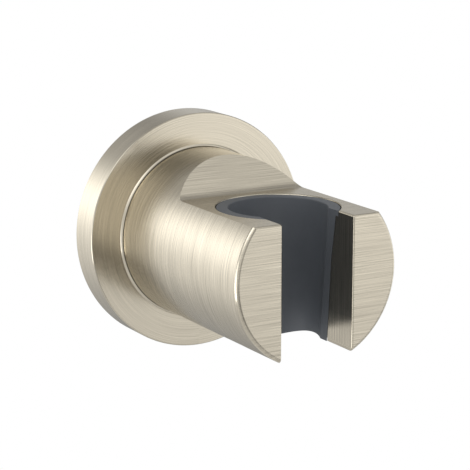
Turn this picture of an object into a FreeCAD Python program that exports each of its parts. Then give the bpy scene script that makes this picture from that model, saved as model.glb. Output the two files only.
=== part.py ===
import FreeCAD, Part
import math
import os
import Sketcher
from FreeCAD import Vector

# Hand shower holder for a wall. X runs to the right, Y into the wall and Z up.
# The origin is on the axis of the round body, in the plane of the wall.

# Driving dimensions in millimetres and degrees. A depth or reach is measured from the wall.
driving = {
    # round body
    "body_radius": 22.0,
    "body_reach": 66.2,
    "flat_height": 13.54,
    "fold_reach": 30.44,
    "shoulder_angle": 47.0,
    "fold_round": 4.0,
    "front_round": 1.0,
    "flat_front_round": 0.6,
    # cone bore, its liner and the open slot
    "bore_setback": 17.9,
    "slot_width": 19.56,
    "slot_edge_chamfer": 0.4,
    "cone_top_radius": 12.0,
    "cone_bottom_radius": 10.45,
    "liner_recess": 0.15,
    "liner_flange_radius": 14.95,
    "liner_flange_thickness": 1.3,
    "liner_flange_chamfer": 0.25,
    "liner_wall": 1.45,
    "liner_shoulder_radius": 14.1,
    "liner_shoulder_height": 0.7,
    "liner_bottom_setback": 0.25,
    "liner_clearance": 0.1,
    "flange_clearance": 0.12,
    "bore_edge_chamfer": 0.25,
    "key_width": 3.0,
    "key_reach": 14.35,
    "key_length": 11.0,
    "key_clearance": 0.1,
    # escutcheon
    "escutcheon_radius": 30.7,
    "escutcheon_depth": 8.9,
    "escutcheon_wall": 3.4,
    "escutcheon_face": 3.7,
    "escutcheon_edge_chamfer": 0.3,
    "seat_depth": 0.9,
    "seat_clearance": 0.08,
    "lip_width": 0.8,
    "lip_height": 0.42,
    "lip_land": 0.15,
    # bracket on the wall
    "bracket_thickness": 4.6,
    "bracket_clearance": 0.3,
    "bracket_opening_radius": 8.5,
    "bracket_edge_chamfer": 0.4,
    "groove_reach": 2.6,
    "groove_depth": 1.4,
    "wall_screw_spacing": 36.0,
    "wall_screw_hole": 5.2,
    "wall_screw_head": 9.8,
    "pocket_inner_radius": 11.5,
    "pocket_outer_radius": 23.0,
    "pocket_half_angle": 58.0,
    "pocket_depth": 2.6,
    "pocket_corner_round": 2.0,
    # set screw under the escutcheon
    "set_screw_radius": 2.0,
    "set_screw_length": 4.0,
    "set_screw_tip_radius": 0.2,
    "set_screw_offset": 0.3,
    "set_screw_gap": 0.03,
    "set_screw_key": 2.0,
    "set_screw_key_depth": 1.6,
    # clamp screw, its washer and the locating pins behind the body
    "clamp_screw_radius": 3.0,
    "clamp_screw_length": 16.0,
    "clamp_head_radius": 5.25,
    "clamp_head_height": 3.3,
    "clamp_head_chamfer": 1.2,
    "clamp_key": 4.0,
    "clamp_key_depth": 2.0,
    "clamp_hole_clearance": 0.3,
    "tapped_hole_spare": 2.0,
    "thread_clearance": 0.03,
    "washer_radius": 5.5,
    "washer_thickness": 0.7,
    "washer_tooth_depth": 1.1,
    "washer_tooth_gap": 1.3,
    "washer_teeth": 9,
    "pin_radius": 1.5,
    "pin_length": 6.0,
    "pin_spread": 12.0,
    "pin_depth_in_cover": 2.0,
    "pin_end_chamfer": 0.3,
    "pin_clearance": 0.02,
}

doc = FreeCAD.newDocument("hand_shower_holder")
sheet = doc.addObject("Spreadsheet::Sheet", "size")
for row, (alias, value) in enumerate(driving.items(), start=1):
    sheet.set(f"A{row}", alias)
    sheet.set(f"B{row}", str(value))
    sheet.setAlias(f"B{row}", alias)
doc.recompute()

# Places that several pieces share, as expressions on the sheet. A reach is also a negative Y.
bore_reach = "(size.body_reach - size.bore_setback)"
seat_reach = "(size.escutcheon_depth - size.seat_depth)"
web_reach = "(size.escutcheon_depth - size.escutcheon_face)"
liner_top = "(size.flat_height - size.liner_recess)"
flange_underside = "(size.flat_height - size.liner_recess - size.liner_flange_thickness)"
liner_bottom = "(-size.body_radius)"
hollow_radius = "(size.escutcheon_radius - size.escutcheon_wall)"
bracket_radius = "(size.escutcheon_radius - size.escutcheon_wall - size.bracket_clearance)"
groove_radius = f"({bracket_radius} - size.groove_depth)"
set_screw_reach = "(size.groove_reach + size.set_screw_offset)"
set_screw_tip = f"({groove_radius} + size.set_screw_offset + size.set_screw_gap + size.set_screw_tip_radius)"
screw_seat_reach = f"({web_reach} - size.washer_thickness)"
pin_start_reach = f"({seat_reach} - size.pin_depth_in_cover)"


def read(expression):
    """Value of an expression on the sheet."""
    return float(sheet.evalExpression(expression))


def new_body(label):
    body = doc.addObject("PartDesign::Body", label)
    body.Label = label
    return body


def new_sketch(body, name, plane, offset=None):
    """Sketch on one of the body's origin planes; offset binds parts of its attachment to the sheet."""
    sketch = body.newObject("Sketcher::SketchObject", name)
    support = next(item for item in body.Origin.OriginFeatures if item.Role == plane)
    sketch.AttachmentSupport = [(support, "")]
    sketch.MapMode = "FlatFace"
    for direction, expression in (offset or {}).items():
        sketch.setExpression(f"AttachmentOffset.Base.{direction}", expression)
    return sketch


def hold(sketch, kind, name, expression, *where):
    """Add a dimension and bind it to the sheet."""
    index = sketch.addConstraint(Sketcher.Constraint(kind, *where, read(expression)))
    sketch.renameConstraint(index, name)
    sketch.setExpression(f"Constraints.{name}", expression)


def hold_point(sketch, name, geometry, point, across, up):
    """Fix a point of the sketch at two distances from its origin."""
    for kind, axis, expression in (("DistanceX", -2, across), ("DistanceY", -1, up)):
        if expression == "0":
            sketch.addConstraint(Sketcher.Constraint("PointOnObject", geometry, point, axis))
        else:
            hold(sketch, kind, f"{name}_{kind[-1].lower()}", expression, -1, 1, geometry, point)


def outline(sketch, name, corners):
    """Closed outline through corners (across, up), or (across, up, round), all of them expressions."""
    points = [Vector(read(corner[0]), read(corner[1]), 0) for corner in corners]
    rounds = [read(corner[2]) if len(corner) == 3 else 0 for corner in corners]
    bends = [
        Bend(here, before, after, radius)
        for here, before, after, radius
        in zip(points, points[-1:] + points[:-1], points[1:] + points[:1], rounds)
    ]
    lines = [
        sketch.addGeometry(Part.LineSegment(bend.leave, following.arrive), False)
        for bend, following in zip(bends, bends[1:] + bends[:1])
    ]
    for number, (bend, corner) in enumerate(zip(bends, corners)):
        arriving, leaving = lines[number - 1], lines[number]
        if bend.radius:
            arc = sketch.addGeometry(bend.arc(), False)
            sketch.addConstraint(Sketcher.Constraint("Tangent", arriving, 2, arc, bend.first))
            sketch.addConstraint(Sketcher.Constraint("Tangent", arc, 3 - bend.first, leaving, 1))
            hold(sketch, "Radius", f"{name}{number}_round", corner[2], arc)
            tip = sketch.addGeometry(Part.Point(bend.here), True)
            hold_point(sketch, f"{name}{number}", tip, 1, *corner[:2])
            sketch.addConstraint(Sketcher.Constraint("PointOnObject", tip, 1, arriving))
            sketch.addConstraint(Sketcher.Constraint("PointOnObject", tip, 1, leaving))
        else:
            sketch.addConstraint(Sketcher.Constraint("Coincident", arriving, 2, leaving, 1))
            hold_point(sketch, f"{name}{number}", leaving, 1, *corner[:2])


class Bend:
    """Corner of an outline: where the lines before and after it end, and the arc between them."""

    def __init__(self, here, before, after, radius):
        back = (before - here).normalize()
        ahead = (after - here).normalize()
        half_angle = back.getAngle(ahead) / 2
        self.here = here
        self.radius = radius
        self.arrive = here + back * (radius / math.tan(half_angle))
        self.leave = here + ahead * (radius / math.tan(half_angle))
        self.centre = here + (back + ahead).normalize() * (radius / math.sin(half_angle))
        # an arc in a sketch runs anticlockwise, so it may start where the outline leaves it
        self.first = 1 if ahead.cross(back).z > 0 else 2

    def arc(self):
        ends = [self.arrive, self.leave] if self.first == 1 else [self.leave, self.arrive]
        start, stop = (math.atan2(end.y - self.centre.y, end.x - self.centre.x) for end in ends)
        if stop < start:
            stop += 2 * math.pi
        return Part.ArcOfCircle(Part.Circle(self.centre, Vector(0, 0, 1), self.radius), start, stop)


def circle(sketch, name, across, up, radius):
    centre = Vector(read(across), read(up), 0)
    ring = sketch.addGeometry(Part.Circle(centre, Vector(0, 0, 1), read(radius)), False)
    hold(sketch, "Radius", f"{name}_radius", radius, ring)
    if across == up == "0":
        sketch.addConstraint(Sketcher.Constraint("Coincident", ring, 3, -1, 1))
    else:
        hold_point(sketch, name, ring, 3, across, up)


def hexagon(sketch, name, across_flats):
    """Hexagon about the sketch's origin, as the socket for a hexagon key."""
    half = f"({across_flats} / 2)"
    tip = f"({across_flats} / 2 / cos(30))"
    corners = [
        (tip, "0"),
        (f"{tip} / 2", half),
        (f"-{tip} / 2", half),
        (f"-{tip}", "0"),
        (f"-{tip} / 2", f"-{half}"),
        (f"{tip} / 2", f"-{half}"),
    ]
    outline(sketch, name, corners)


def feature(body, kind, name, profile, **settings):
    """Sketch-based feature; settings that are text are bound to the sheet."""
    made = body.newObject(f"PartDesign::{kind}", name)
    made.Profile = profile
    for setting, value in settings.items():
        if setting in ("Type", "SideType", "ReferenceAxis", "Reversed"):
            setattr(made, setting, value)
        else:
            made.setExpression(setting, value)
    profile.Visibility = False
    doc.recompute()
    return made


def turn(body, kind, name, profile, axis):
    """Full turn of a profile about one axis of its sketch."""
    made = body.newObject(f"PartDesign::{kind}", name)
    made.Profile = profile
    made.ReferenceAxis = (profile, [axis])
    made.Angle = 360
    doc.recompute()
    return made


def blend(body, kind, name, size_property, expression, wanted):
    """Fillet or chamfer on the edges of the body's tip for which wanted(edge) is true."""
    base = body.Tip
    names = [f"Edge{number}" for number, edge in enumerate(base.Shape.Edges, start=1) if wanted(edge)]
    made = body.newObject(f"PartDesign::{kind}", name)
    made.Base = (base, names)
    made.setExpression(size_property, expression)
    doc.recompute()
    return made


def near(first, second, tolerance=0.001):
    return abs(first - second) < tolerance


def on_circle(edge, radius, along=None, direction="y"):
    """Whether the edge is part of a circle of this radius about the piece's axis, at one place on it."""
    curve = edge.Curve
    if not isinstance(curve, Part.Circle) or not near(curve.Radius, radius):
        return False
    across = [getattr(curve.Center, axis) for axis in "xyz" if axis != direction]
    centred = all(near(value, 0) for value in across)
    return centred and (along is None or near(getattr(curve.Center, direction), along))


def lies_in(edge, test):
    """Whether both ends and the middle of the edge meet a test."""
    middle = edge.valueAt((edge.FirstParameter + edge.LastParameter) / 2)
    return all(test(point) for point in [middle] + [vertex.Point for vertex in edge.Vertexes])


def make_holder_body():
    body = new_body("holder_body")
    front = -read("size.body_reach")
    flat = read("size.flat_height")
    half_slot = read("size.slot_width") / 2

    # round bar from its seat in the escutcheon to the rounded edge at the front
    bar = new_sketch(body, "bar_section", "YZ_Plane")
    outline(bar, "bar", [
        (f"-{seat_reach}", "0"),
        (f"-{seat_reach}", "size.body_radius"),
        ("-size.body_reach", "size.body_radius", "size.front_round"),
        ("-size.body_reach", "0"),
    ])
    turn(body, "Revolution", "bar_turn", bar, "H_Axis")

    # flat on the top, rounded over at the front, and the shoulder that rises from the fold to the wall
    clear_top = "(size.body_radius * 1.2)"
    clear_front = "(-size.body_reach * 1.1)"
    shoulder = f"(({clear_top} - size.flat_height) / tan(size.shoulder_angle))"
    top_cut = new_sketch(body, "top_cut", "YZ_Plane")
    outline(top_cut, "top", [
        ("-size.fold_reach", "size.flat_height", "size.fold_round"),
        ("-size.body_reach", "size.flat_height", "size.flat_front_round"),
        ("-size.body_reach", "size.flat_height - size.flat_front_round * 1.5"),
        (clear_front, "size.flat_height - size.flat_front_round * 1.5"),
        (clear_front, clear_top),
        (f"-size.fold_reach + {shoulder}", clear_top),
    ])
    feature(body, "Pocket", "top_pocket", top_cut, SideType="Symmetric", Length="size.body_radius * 3")

    # stepped cone bore for the liner, turned about its own upright axis
    bore = new_sketch(body, "bore_section", "YZ_Plane", {"x": f"-{bore_reach}"})
    outer_top = "size.liner_flange_radius + size.flange_clearance"
    outline(bore, "bore", [
        ("0", clear_top),
        (f"{outer_top} + size.bore_edge_chamfer", clear_top),
        (f"{outer_top} + size.bore_edge_chamfer", "size.flat_height"),
        (outer_top, "size.flat_height - size.bore_edge_chamfer"),
        (outer_top, flange_underside),
        ("size.liner_shoulder_radius + size.liner_clearance", flange_underside),
        (liner_outer("size.liner_shoulder_height") + " + size.liner_clearance", "size.liner_shoulder_height"),
        (liner_outer("-size.body_radius * 1.1") + " + size.liner_clearance", "-size.body_radius * 1.1"),
        ("0", "-size.body_radius * 1.1"),
    ])
    turn(body, "Groove", "bore_groove", bore, "V_Axis")

    # keyway behind the liner
    keyway = new_sketch(body, "keyway", "XY_Plane", {"z": flange_underside})
    half_key = "(size.key_width / 2 + size.key_clearance)"
    outline(keyway, "key", [
        (f"-{half_key}", f"-{bore_reach}"),
        (half_key, f"-{bore_reach}"),
        (half_key, f"-{bore_reach} + size.key_reach + size.key_clearance"),
        (f"-{half_key}", f"-{bore_reach} + size.key_reach + size.key_clearance"),
    ])
    feature(body, "Pocket", "keyway_pocket", keyway, Length="size.key_length + size.key_clearance")

    # slot for the hose, open to the front and right through
    slot = new_sketch(body, "slot_plan", "XY_Plane")
    outline(slot, "slot", [
        ("-size.slot_width / 2", clear_front),
        ("size.slot_width / 2", clear_front),
        ("size.slot_width / 2", f"-{bore_reach}"),
        ("-size.slot_width / 2", f"-{bore_reach}"),
    ])
    feature(body, "Pocket", "slot_pocket", slot, SideType="Symmetric", Length="size.body_radius * 3")

    # edges of the slot broken all round
    def outside(point):
        return near(point.z, flat) or near(point.y, front) \
            or near((point.x ** 2 + point.z ** 2) ** 0.5, read("size.body_radius"), 0.01)

    def slot_edge(edge):
        beside = lies_in(edge, lambda point: near(abs(point.x), half_slot))
        return beside and lies_in(edge, lambda point: outside(point))

    blend(body, "Chamfer", "slot_chamfer", "Size", "size.slot_edge_chamfer", slot_edge)

    # tapped hole for the clamp screw and two blind holes for the pins, from behind
    tapped = new_sketch(body, "tapped_hole", "XZ_Plane", {"z": seat_reach})
    circle(tapped, "tapped", "0", "0", "size.clamp_screw_radius + size.thread_clearance")
    feature(body, "Pocket", "tapped_pocket", tapped, Reversed=True,
            Length=f"size.clamp_screw_length - ({seat_reach} - {screw_seat_reach}) + size.tapped_hole_spare")
    pins = new_sketch(body, "pin_holes", "XZ_Plane", {"z": seat_reach})
    for side in ("-", ""):
        circle(pins, f"pin{len(side)}", f"{side}size.pin_spread", "0", "size.pin_radius + size.pin_clearance")
    feature(body, "Pocket", "pin_pocket", pins, Reversed=True,
            Length="size.pin_length - size.pin_depth_in_cover + size.pin_end_chamfer")
    return body


def liner_outer(height):
    """Outside radius of the liner's cone at a height."""
    slope = f"((size.cone_top_radius - size.cone_bottom_radius) / ({liner_top} - {liner_bottom}))"
    return f"(size.cone_bottom_radius + size.liner_wall + {slope} * ({height} - {liner_bottom}))"


def make_cone_liner():
    body = new_body("cone_liner")
    body.setExpression("Placement.Base.y", f"-{bore_reach}")

    # cone that thickens towards its rim flange, turned about its own upright axis
    section = new_sketch(body, "liner_section", "XZ_Plane")
    outline(section, "liner", [
        ("size.cone_bottom_radius", liner_bottom),
        (liner_outer(liner_bottom), liner_bottom),
        (liner_outer("size.liner_shoulder_height"), "size.liner_shoulder_height"),
        ("size.liner_shoulder_radius", flange_underside),
        ("size.liner_flange_radius", flange_underside),
        ("size.liner_flange_radius", liner_top),
        ("size.cone_top_radius", liner_top),
    ])
    turn(body, "Revolution", "liner_turn", section, "V_Axis")
    top = read(liner_top)
    blend(body, "Chamfer", "flange_chamfer", "Size", "size.liner_flange_chamfer",
          lambda edge: on_circle(edge, read("size.liner_flange_radius"), top, "z")
          or on_circle(edge, read("size.cone_top_radius"), top, "z"))

    # key that stops it turning in the body
    key = new_sketch(body, "key_plan", "XY_Plane", {"z": flange_underside})
    inner = "(size.cone_top_radius + size.liner_wall / 4)"
    outline(key, "key", [
        ("-size.key_width / 2", inner),
        ("size.key_width / 2", inner),
        ("size.key_width / 2", "size.key_reach"),
        ("-size.key_width / 2", "size.key_reach"),
    ])
    feature(body, "Pad", "key_pad", key, Reversed=True, Length="size.key_length")

    # mouth in line with the slot
    mouth = new_sketch(body, "mouth_plan", "XY_Plane")
    outline(mouth, "mouth", [
        ("-size.slot_width / 2", "-size.liner_flange_radius * 1.2"),
        ("size.slot_width / 2", "-size.liner_flange_radius * 1.2"),
        ("size.slot_width / 2", "0"),
        ("-size.slot_width / 2", "0"),
    ])
    feature(body, "Pocket", "mouth_pocket", mouth, SideType="Symmetric", Length="size.body_radius * 3")

    # underside trimmed to the round of the body, a little inside it
    trim = new_sketch(body, "trim_section", "XZ_Plane")
    circle(trim, "inside", "0", "0", "size.body_radius - size.liner_bottom_setback")
    circle(trim, "outside", "0", "0", "size.body_radius * 2")
    feature(body, "Pocket", "trim_pocket", trim, SideType="Symmetric", Length="size.body_radius * 3")
    return body


def make_escutcheon():
    body = new_body("escutcheon")

    # shell turned about the axis of the holder: rim, face, a low lip round the body, and the body's seat
    section = new_sketch(body, "cover_section", "YZ_Plane")
    seat_radius = "(size.body_radius + size.seat_clearance)"
    outline(section, "cover", [
        ("0", hollow_radius),
        ("0", "size.escutcheon_radius"),
        ("-size.escutcheon_depth", "size.escutcheon_radius"),
        ("-size.escutcheon_depth", f"{seat_radius} + size.lip_width"),
        ("-size.escutcheon_depth - size.lip_height", f"{seat_radius} + size.lip_land"),
        ("-size.escutcheon_depth - size.lip_height", seat_radius),
        (f"-{seat_reach}", seat_radius),
        (f"-{seat_reach}", "0"),
        (f"-{web_reach}", "0"),
        (f"-{web_reach}", hollow_radius),
    ])
    turn(body, "Revolution", "cover_turn", section, "H_Axis")
    face = -read("size.escutcheon_depth")
    blend(body, "Chamfer", "cover_chamfer", "Size", "size.escutcheon_edge_chamfer",
          lambda edge: on_circle(edge, read("size.escutcheon_radius"), face))

    # hole for the clamp screw, and two for the pins that stop short of the hollow
    screw_hole = new_sketch(body, "screw_hole", "XZ_Plane", {"z": seat_reach})
    circle(screw_hole, "screw", "0", "0", "size.clamp_screw_radius + size.clamp_hole_clearance")
    feature(body, "Pocket", "screw_pocket", screw_hole, Length="size.escutcheon_face")
    pin_holes = new_sketch(body, "pin_holes", "XZ_Plane", {"z": seat_reach})
    for side in ("-", ""):
        circle(pin_holes, f"pin{len(side)}", f"{side}size.pin_spread", "0",
               "size.pin_radius + size.pin_clearance")
    feature(body, "Pocket", "pin_pocket", pin_holes, Length="size.pin_depth_in_cover + size.pin_clearance")

    # tapped hole for the set screw, through the underside of the rim
    tapped = new_sketch(body, "tapped_hole", "XY_Plane")
    circle(tapped, "tapped", "0", f"-{set_screw_reach}", "size.set_screw_radius + size.thread_clearance")
    feature(body, "Pocket", "tapped_pocket", tapped, Length="size.escutcheon_radius * 1.1")
    return body


def make_wall_bracket():
    body = new_body("wall_bracket")

    # disc with a V groove round its rim and an opening for the clamp screw's head
    section = new_sketch(body, "disc_section", "YZ_Plane")
    outline(section, "disc", [
        ("0", "size.bracket_opening_radius"),
        ("0", bracket_radius),
        ("-size.groove_reach + size.groove_depth", bracket_radius),
        ("-size.groove_reach", groove_radius),
        ("-size.groove_reach - size.groove_depth", bracket_radius),
        ("-size.bracket_thickness", bracket_radius),
        ("-size.bracket_thickness", "size.bracket_opening_radius"),
    ])
    turn(body, "Revolution", "disc_turn", section, "H_Axis")
    front = -read("size.bracket_thickness")
    blend(body, "Chamfer", "disc_chamfer", "Size", "size.bracket_edge_chamfer",
          lambda edge: on_circle(edge, read(bracket_radius), front)
          or on_circle(edge, read("size.bracket_opening_radius"), front))

    # countersunk holes for the wall screws, one above the other
    holes = new_sketch(body, "wall_screw_holes", "XZ_Plane", {"z": "size.bracket_thickness"})
    for side in ("-", ""):
        circle(holes, f"hole{len(side)}", "0", f"{side}size.wall_screw_spacing / 2",
               "size.wall_screw_hole / 2")
    doc.recompute()
    drilled = body.newObject("PartDesign::Hole", "wall_screw_drilling")
    drilled.Profile = holes
    drilled.DepthType = "ThroughAll"
    drilled.setExpression("Diameter", "size.wall_screw_hole")
    drilled.HoleCutType = "Countersink"
    drilled.HoleCutCustomValues = True
    drilled.HoleCutCountersinkAngle = 90
    drilled.setExpression("HoleCutDiameter", "size.wall_screw_head")
    doc.recompute()

    # kidney-shaped pockets left and right in the back of the casting
    kidney = new_sketch(body, "kidney", "XZ_Plane")
    add_kidney(kidney)
    right = feature(body, "Pocket", "kidney_pocket", kidney, Reversed=True, Length="size.pocket_depth")
    mirrored = body.newObject("PartDesign::Mirrored", "kidney_pair")
    mirrored.Originals = [right]
    mirrored.MirrorPlane = (kidney, ["V_Axis"])
    body.Tip = mirrored
    doc.recompute()
    blend(body, "Fillet", "kidney_fillet", "Radius", "size.pocket_corner_round", kidney_corner)
    return body


def add_kidney(sketch):
    """Slot along an arc, between two radii and two rays from the axis."""
    inner, outer = read("size.pocket_inner_radius"), read("size.pocket_outer_radius")
    half_angle = read("size.pocket_half_angle")
    up = Vector(0, 0, 1)
    arcs = []
    for name, radius, expression in (
        ("inner", inner, "size.pocket_inner_radius"),
        ("outer", outer, "size.pocket_outer_radius"),
    ):
        ring = Part.Circle(Vector(0, 0, 0), up, radius)
        span = FreeCAD.Units.Quantity(f"{half_angle} deg").getValueAs("rad").Value
        arc = sketch.addGeometry(Part.ArcOfCircle(ring, -span, span), False)
        sketch.addConstraint(Sketcher.Constraint("Coincident", arc, 3, -1, 1))
        hold(sketch, "Radius", f"{name}_radius", expression, arc)
        arcs.append(arc)
    for name, end, sign in (("lower", 1, "-"), ("upper", 2, "")):
        height = f"{sign}size.pocket_inner_radius * sin(size.pocket_half_angle)"
        hold(sketch, "DistanceY", f"{name}_end", height, -1, 1, arcs[0], end)
        turned = Vector(1, 0, 0)
        direction = FreeCAD.Rotation(up, half_angle if end == 2 else -half_angle).multVec(turned)
        ray = sketch.addGeometry(Part.LineSegment(direction * inner, direction * outer), False)
        sketch.addConstraint(Sketcher.Constraint("Coincident", ray, 1, arcs[0], end))
        sketch.addConstraint(Sketcher.Constraint("Coincident", ray, 2, arcs[1], end))
        sketch.addConstraint(Sketcher.Constraint("PointOnObject", -1, 1, ray))


def kidney_corner(edge):
    """Whether the edge is one of the pockets' upright corners."""
    inner, outer = read("size.pocket_inner_radius"), read("size.pocket_outer_radius")
    if not isinstance(edge.Curve, Part.Line) or not near(edge.Length, read("size.pocket_depth")):
        return False
    corner = edge.Vertexes[0].Point
    radius = (corner.x ** 2 + corner.z ** 2) ** 0.5
    return near(radius, inner) or near(radius, outer)


def make_set_screw():
    body = new_body("set_screw")
    body.setExpression("Placement.Base.y", f"-{set_screw_reach}")
    body.setExpression("Placement.Base.z", f"-{set_screw_tip}")

    # cone-pointed grub screw, its point up at the bracket's groove
    section = new_sketch(body, "screw_section", "XZ_Plane")
    outline(section, "screw", [
        ("0", "0"),
        ("size.set_screw_tip_radius", "0"),
        ("size.set_screw_radius", "size.set_screw_tip_radius - size.set_screw_radius"),
        ("size.set_screw_radius", "-size.set_screw_length"),
        ("0", "-size.set_screw_length"),
    ])
    turn(body, "Revolution", "screw_turn", section, "V_Axis")
    socket = new_sketch(body, "socket", "XY_Plane", {"z": "-size.set_screw_length"})
    hexagon(socket, "key", "size.set_screw_key")
    feature(body, "Pocket", "socket_pocket", socket, Reversed=True, Length="size.set_screw_key_depth")
    return body


def make_clamp_screw():
    body = new_body("clamp_screw")
    body.setExpression("Placement.Base.y", f"-{screw_seat_reach}")

    # low head screw, its shank towards the front
    section = new_sketch(body, "screw_section", "YZ_Plane")
    outline(section, "screw", [
        ("size.clamp_head_height", "0"),
        ("size.clamp_head_height", "size.clamp_head_radius"),
        ("0", "size.clamp_head_radius"),
        ("0", "size.clamp_screw_radius"),
        ("-size.clamp_screw_length", "size.clamp_screw_radius"),
        ("-size.clamp_screw_length", "0"),
    ])
    turn(body, "Revolution", "screw_turn", section, "H_Axis")
    blend(body, "Chamfer", "head_chamfer", "Size", "size.clamp_head_chamfer",
          lambda edge: on_circle(edge, read("size.clamp_head_radius"), read("size.clamp_head_height")))
    socket = new_sketch(body, "socket", "XZ_Plane", {"z": "-size.clamp_head_height"})
    hexagon(socket, "key", "size.clamp_key")
    feature(body, "Pocket", "socket_pocket", socket, Reversed=True, Length="size.clamp_key_depth")
    return body


def make_lock_washer():
    body = new_body("lock_washer")
    body.setExpression("Placement.Base.y", f"-{screw_seat_reach}")

    # flat ring with teeth left between notches round its rim
    ring = new_sketch(body, "ring", "XZ_Plane")
    circle(ring, "rim", "0", "0", "size.washer_radius")
    circle(ring, "hole", "0", "0", "size.clamp_screw_radius + size.clamp_hole_clearance")
    feature(body, "Pad", "ring_pad", ring, Length="size.washer_thickness")
    notch = new_sketch(body, "notch", "XZ_Plane")
    outline(notch, "notch", [
        ("-size.washer_tooth_gap / 2", "size.washer_radius - size.washer_tooth_depth"),
        ("size.washer_tooth_gap / 2", "size.washer_radius - size.washer_tooth_depth"),
        ("size.washer_tooth_gap / 2", "size.washer_radius * 1.1"),
        ("-size.washer_tooth_gap / 2", "size.washer_radius * 1.1"),
    ])
    cut = feature(body, "Pocket", "notch_pocket", notch, Reversed=True, Length="size.washer_thickness")
    teeth = body.newObject("PartDesign::PolarPattern", "teeth")
    teeth.Originals = [cut]
    teeth.Axis = (ring, ["N_Axis"])
    teeth.Angle = 360
    teeth.setExpression("Occurrences", "size.washer_teeth")
    body.Tip = teeth
    doc.recompute()
    return body


def make_locating_pin(label, side):
    body = new_body(label)
    body.setExpression("Placement.Base.x", f"{side}size.pin_spread")
    body.setExpression("Placement.Base.y", f"-{pin_start_reach}")
    section = new_sketch(body, "pin_section", "XZ_Plane")
    circle(section, "pin", "0", "0", "size.pin_radius")
    feature(body, "Pad", "pin_pad", section, Length="size.pin_length")
    blend(body, "Chamfer", "pin_chamfer", "Size", "size.pin_end_chamfer",
          lambda edge: on_circle(edge, read("size.pin_radius")))
    return body


pieces = [
    make_holder_body(),
    make_cone_liner(),
    make_escutcheon(),
    make_wall_bracket(),
    make_set_screw(),
    make_clamp_screw(),
    make_lock_washer(),
    make_locating_pin("locating_pin_left", "-"),
    make_locating_pin("locating_pin_right", ""),
]
doc.recompute()

for item in doc.Objects:
    if any(word in item.State for word in ("Invalid", "Error")):
        raise RuntimeError(f"{item.Label} did not rebuild: {item.State}")
for piece in pieces:
    if piece.Shape.isNull() or not piece.Shape.isValid():
        raise RuntimeError(f"{piece.Label} is not a valid solid")

os.makedirs("parts", exist_ok=True)
for piece in pieces:
    piece.Shape.exportStep(os.path.join("parts", f"{piece.Label}.step"))
    print(f"{piece.Label}: {len(piece.Shape.Solids)} solid, {piece.Shape.Volume:.1f} mm3")
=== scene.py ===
import bmesh
import bpy
import math
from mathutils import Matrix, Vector


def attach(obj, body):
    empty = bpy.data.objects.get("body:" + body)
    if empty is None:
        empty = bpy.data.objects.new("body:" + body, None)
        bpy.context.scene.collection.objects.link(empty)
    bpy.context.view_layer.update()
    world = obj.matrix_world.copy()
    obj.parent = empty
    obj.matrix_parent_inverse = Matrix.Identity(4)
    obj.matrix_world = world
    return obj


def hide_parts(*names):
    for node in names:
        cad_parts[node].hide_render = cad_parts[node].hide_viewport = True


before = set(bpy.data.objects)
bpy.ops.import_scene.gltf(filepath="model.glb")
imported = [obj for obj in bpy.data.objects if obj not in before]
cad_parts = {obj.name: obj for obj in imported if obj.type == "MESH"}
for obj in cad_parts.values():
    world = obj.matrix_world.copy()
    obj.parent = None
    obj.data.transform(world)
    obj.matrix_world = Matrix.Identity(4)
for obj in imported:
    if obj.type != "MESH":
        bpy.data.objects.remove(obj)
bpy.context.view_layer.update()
mm = 0.001
print("frame loaded:", ", ".join(sorted(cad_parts)))

viewSet = {
    "azimuth": -30.06,
    "elevation": 12.75,
    "distance": 0.4588,
    "target": (-0.00135, -0.0300, 0.00304),
    "lens": 141.44,
    "sensor": 36.0,
    "near": 0.01,
}
roomSet = {
    "floorDrop": 0.30,
    "floorFront": -0.48,
    "floorBack": 0.20,
    "floorSide": 0.60,
    "floorColor": (0.85, 0.85, 0.85, 1),
    "floorRoughness": 0.9,
    "backdropLevel": 1.0,
    "diffuseLevel": 0.62,
}
# the room's soft panels as the metal sees them: azimuth from the front towards the right and height, both
# in degrees, how tightly the light gathers there, and how bright it is
panelSet = {
    "backLeftCard": {"azimuth": 210, "height": 10, "focus": 30, "level": 1.01},
    "backLeftFill": {"azimuth": 211, "height": 0, "focus": 10, "level": 0.84},
    "backLeftLow": {"azimuth": 206, "height": -26, "focus": 26, "level": 0.20},
    "frontRightCard": {"azimuth": 30, "height": -2, "focus": 12, "level": 0.97},
    "rightCard": {"azimuth": 66, "height": 6, "focus": 14, "level": 0.50},
    "rightNearCard": {"azimuth": 48, "height": 1, "focus": 50, "level": 0.55},
    "rightHighCard": {"azimuth": 68, "height": 42, "focus": 16, "level": 0.48},
    "frontLeftFill": {"azimuth": 330, "height": 0, "focus": 8, "level": 0.7},
    "frontLeftHigh": {"azimuth": 330, "height": 40, "focus": 16, "level": 0.4},
    "leftCard": {"azimuth": 268, "height": -24, "focus": 9, "level": 2.8},
    "leftHighCard": {"azimuth": 285, "height": 42, "focus": 9, "level": 1.7},
    "rightFill": {"azimuth": 95, "height": -12, "focus": 12, "level": 1.3},
    "backRightFill": {"azimuth": 150, "height": 9, "focus": 18, "level": 0.57},
    "backRightHigh": {"azimuth": 138, "height": 42, "focus": 16, "level": 0.22},
    "rightTopFill": {"azimuth": 115, "height": 58, "focus": 16, "level": 0.20},
    "frontRightHigh": {"azimuth": 44, "height": 24, "focus": 16, "level": 0.36},
    "backLowFill": {"azimuth": 185, "height": -35, "focus": 10, "level": 0.34},
    "backRightLow": {"azimuth": 158, "height": -27, "focus": 16, "level": 0.16},
    "backHighFill": {"azimuth": 185, "height": 40, "focus": 16, "level": 0.45},
    "topCard": {"azimuth": 25, "height": 70, "focus": 12, "level": 0.8},
}
# each lamp: where it stands, what it faces, its width and height in metres, and its brightness
lampSet = {
    "leftSoftbox": {
        "at": (-0.95, -0.12, -0.10),
        "aim": (0, -0.03, 0),
        "size": (0.55, 0.60),
        "watts": 0.55,
    },
}


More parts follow.
